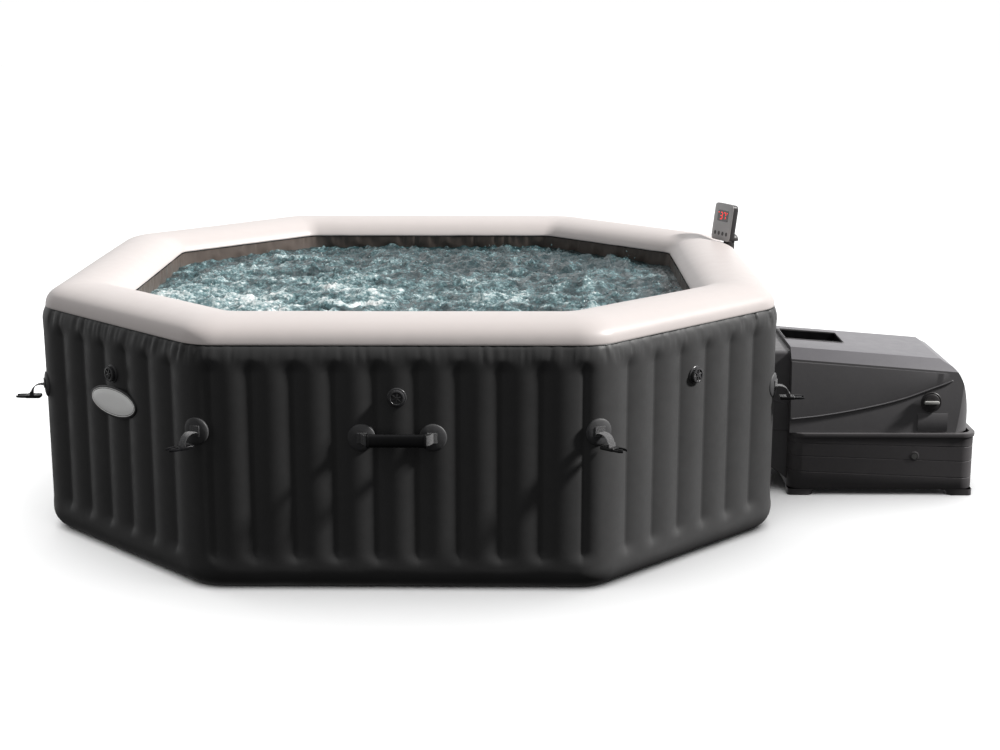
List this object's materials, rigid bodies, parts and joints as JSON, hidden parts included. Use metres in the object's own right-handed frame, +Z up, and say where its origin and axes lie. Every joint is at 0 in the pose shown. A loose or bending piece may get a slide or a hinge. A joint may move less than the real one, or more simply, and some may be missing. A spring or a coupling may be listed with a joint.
{
  "type": "inflatable hot tub",
  "caption": "Octagonal inflatable hot tub with a ribbed air wall, crowned rim, strap clips, carry handle, rim control panel and a pump and heater base unit.",
  "frame": {"origin": "centre of the octagonal tub on the ground", "axes": "+Z up, +X towards the base unit, -Y towards the tub's front"},
  "size_m": [2.9596, 2.3072, 0.8584],
  "materials": {
    "wall_fabric": "satin coated fabric",
    "rim_fabric": "satin coated fabric",
    "bath_fabric": "satin coated fabric",
    "beam_mesh": "woven",
    "webbing": "woven",
    "patch_rubber": "matt",
    "black_plastic": "fine grain",
    "valve_plastic": "semi gloss",
    "badge_plastic": "gloss",
    "tray_plastic": "fine grain",
    "cover_plastic": "fine grain",
    "inner_plastic": "satin",
    "filter_paper": "pleated",
    "motor_metal": "satin",
    "heater_metal": "brushed",
    "screw_metal": "satin",
    "bezel_plastic": "satin",
    "display_glass": "gloss"
  },
  "bodies": {
    "tub": {"ground_sheet": "wall_fabric", "outer_wall": "wall_fabric", "top_rim": "rim_fabric", "inner_wall": "bath_fabric", "floor_liner": "bath_fabric", "bubble_channel": "bath_fabric", "tension_beams": "beam_mesh", "valve_seats": "valve_plastic", "strap_patches": "patch_rubber", "oval_badge": "badge_plastic", "drain_body": "black_plastic", "jet_housings": "inner_plastic", "hose_couplings": "black_plastic", "suction_strainers": "inner_plastic", "base_tray": "tray_plastic", "base_cover": "cover_plastic", "recess_grille": "black_plastic", "connection_hood": "cover_plastic", "filter_housing": "inner_plastic", "filter_cartridge": "filter_paper", "circulation_pump": "motor_metal", "jet_pump": "motor_metal", "air_blower": "inner_plastic", "water_heater": "heater_metal", "control_box": "black_plastic", "pipework": "inner_plastic", "cover_screws": "screw_metal", "cord_gland": "black_plastic", "panel_bracket": "black_plastic"},
    "valve_cap_left": {"valve_cap_left": "valve_plastic"},
    "valve_cap_front": {"valve_cap_front": "valve_plastic"},
    "valve_cap_right": {"valve_cap_right": "valve_plastic"},
    "carry_handle": {"handle_strap": "webbing", "handle_grip": "black_plastic"},
    "clip_right_front": {"cover_clip_right_front": "black_plastic"},
    "clip_right_back": {"cover_clip_right_back": "black_plastic"},
    "clip_back_right": {"cover_clip_back_right": "black_plastic"},
    "clip_back_left": {"cover_clip_back_left": "black_plastic"},
    "clip_left_back": {"cover_clip_left_back": "black_plastic"},
    "clip_left_front": {"cover_clip_left_front": "black_plastic"},
    "clip_front_left": {"cover_clip_front_left": "black_plastic"},
    "clip_front_right": {"cover_clip_front_right": "black_plastic"},
    "drain_cap": {"drain_cap": "black_plastic"},
    "jet_nozzle_front_left": {"jet_nozzle_front_left": "inner_plastic"},
    "jet_nozzle_front_right": {"jet_nozzle_front_right": "inner_plastic"},
    "jet_nozzle_back_left": {"jet_nozzle_back_left": "inner_plastic"},
    "jet_nozzle_back_right": {"jet_nozzle_back_right": "inner_plastic"},
    "filter_cap": {"filter_cap": "inner_plastic"},
    "service_knob": {"service_knob": "cover_plastic"},
    "circulation_impeller": {"circulation_impeller": "inner_plastic"},
    "jet_impeller": {"jet_impeller": "inner_plastic"},
    "blower_fan": {"blower_fan": "inner_plastic"},
    "panel_neck": {"panel_neck": "black_plastic"},
    "control_panel": {"panel_housing": "black_plastic", "panel_bezel": "bezel_plastic", "display_window": "display_glass"},
    "panel_button_1": {"panel_button_1": "black_plastic"},
    "panel_button_2": {"panel_button_2": "black_plastic"},
    "panel_button_3": {"panel_button_3": "black_plastic"},
    "panel_button_4": {"panel_button_4": "black_plastic"}
  },
  "joints": [
    {"name": "valve_cap_left_turn", "type": "hinge", "parent": "tub", "child": "valve_cap_left", "pos_m": [-0.81529, -0.81529, 0.54], "axis": [-0.7071, -0.7071, 0], "range_deg": [0, 270]},
    {"name": "valve_cap_front_turn", "type": "hinge", "parent": "tub", "child": "valve_cap_front", "pos_m": [0, -1.09, 0.54], "axis": [0, -1, 0], "range_deg": [0, 270]},
    {"name": "valve_cap_right_turn", "type": "hinge", "parent": "tub", "child": "valve_cap_right", "pos_m": [0.81529, -0.81529, 0.54], "axis": [0.7071, -0.7071, 0], "range_deg": [0, 270]},
    {"name": "carry_handle_swing", "type": "hinge", "parent": "tub", "child": "carry_handle", "pos_m": [0, -1.0964, 0.431], "axis": [1, 0, 0], "range_deg": [-40, 40]},
    {"name": "clip_right_front_lift", "type": "hinge", "parent": "tub", "child": "clip_right_front", "pos_m": [1.08858, -0.54, 0.445], "axis": [0, -1, 0], "range_deg": [-5, 75]},
    {"name": "clip_right_back_lift", "type": "hinge", "parent": "tub", "child": "clip_right_back", "pos_m": [1.08858, 0.54, 0.445], "axis": [0, -1, 0], "range_deg": [-5, 75]},
    {"name": "clip_back_right_lift", "type": "hinge", "parent": "tub", "child": "clip_back_right", "pos_m": [0.54, 1.08858, 0.445], "axis": [0.6691, -0.7431, 0], "range_deg": [-5, 75]},
    {"name": "clip_back_left_lift", "type": "hinge", "parent": "tub", "child": "clip_back_left", "pos_m": [-0.54, 1.08858, 0.445], "axis": [0.6691, 0.7431, 0], "range_deg": [-5, 75]},
    {"name": "clip_left_back_lift", "type": "hinge", "parent": "tub", "child": "clip_left_back", "pos_m": [-1.08858, 0.54, 0.445], "axis": [0, 1, 0], "range_deg": [-5, 75]},
    {"name": "clip_left_front_lift", "type": "hinge", "parent": "tub", "child": "clip_left_front", "pos_m": [-1.08858, -0.54, 0.445], "axis": [0, 1, 0], "range_deg": [-5, 75]},
    {"name": "clip_front_left_lift", "type": "hinge", "parent": "tub", "child": "clip_front_left", "pos_m": [-0.54, -1.08858, 0.445], "axis": [-0.6691, 0.7431, 0], "range_deg": [-5, 75]},
    {"name": "clip_front_right_lift", "type": "hinge", "parent": "tub", "child": "clip_front_right", "pos_m": [0.54, -1.08858, 0.445], "axis": [-0.6691, -0.7431, 0], "range_deg": [-5, 75]},
    {"name": "drain_cap_turn", "type": "hinge", "parent": "tub", "child": "drain_cap", "pos_m": [0, 1.09, 0.12], "axis": [0, 1, 0], "range_deg": [0, 270]},
    {"name": "jet_nozzle_front_left_aim", "type": "hinge", "parent": "tub", "child": "jet_nozzle_front_left", "pos_m": [-0.22, -0.866, 0.33], "axis": [0, 0, 1], "range_deg": [-18, 18]},
    {"name": "jet_nozzle_front_right_aim", "type": "hinge", "parent": "tub", "child": "jet_nozzle_front_right", "pos_m": [0.22, -0.866, 0.33], "axis": [0, 0, 1], "range_deg": [-18, 18]},
    {"name": "jet_nozzle_back_left_aim", "type": "hinge", "parent": "tub", "child": "jet_nozzle_back_left", "pos_m": [-0.22, 0.866, 0.33], "axis": [0, 0, 1], "range_deg": [-18, 18]},
    {"name": "jet_nozzle_back_right_aim", "type": "hinge", "parent": "tub", "child": "jet_nozzle_back_right", "pos_m": [0.22, 0.866, 0.33], "axis": [0, 0, 1], "range_deg": [-18, 18]},
    {"name": "filter_cap_turn", "type": "hinge", "parent": "tub", "child": "filter_cap", "pos_m": [1.29, 0.09, 0.4], "axis": [0, 0, 1], "range_deg": [0, 90]},
    {"name": "service_knob_turn", "type": "hinge", "parent": "tub", "child": "service_knob", "pos_m": [1.637, -0.1815, 0.306], "axis": [0, -1, 0], "range_deg": [0, 90]},
    {"name": "circulation_impeller_spin", "type": "hinge", "parent": "tub", "child": "circulation_impeller", "pos_m": [1.42, -0.11, 0.11], "axis": [1, 0, 0], "continuous": true},
    {"name": "jet_impeller_spin", "type": "hinge", "parent": "tub", "child": "jet_impeller", "pos_m": [1.5, 0.11, 0.13], "axis": [1, 0, 0], "continuous": true},
    {"name": "blower_fan_spin", "type": "hinge", "parent": "tub", "child": "blower_fan", "pos_m": [1.47, -0.05, 0.3], "axis": [1, 0, 0], "continuous": true},
    {"name": "panel_swivel", "type": "hinge", "parent": "tub", "child": "panel_neck", "pos_m": [1.062, 0.463, 0.727], "axis": [0, 0, 1], "range_deg": [-90, 90]},
    {"name": "panel_tilt", "type": "hinge", "parent": "panel_neck", "child": "control_panel", "pos_m": [1.05625, 0.45991, 0.74626], "axis": [0.4226, -0.9063, 0], "range_deg": [-20, 5]},
    {"name": "panel_button_1_press", "type": "slide", "parent": "control_panel", "child": "panel_button_1", "axis": [0.8975, 0.4185, -0.1392], "range_m": [0, 0.0012], "stiffness_N_per_m": 300},
    {"name": "panel_button_2_press", "type": "slide", "parent": "control_panel", "child": "panel_button_2", "axis": [0.8975, 0.4185, -0.1392], "range_m": [0, 0.0012], "stiffness_N_per_m": 300},
    {"name": "panel_button_3_press", "type": "slide", "parent": "control_panel", "child": "panel_button_3", "axis": [0.8975, 0.4185, -0.1392], "range_m": [0, 0.0012], "stiffness_N_per_m": 300},
    {"name": "panel_button_4_press", "type": "slide", "parent": "control_panel", "child": "panel_button_4", "axis": [0.8975, 0.4185, -0.1392], "range_m": [0, 0.0012], "stiffness_N_per_m": 300}
  ]
}
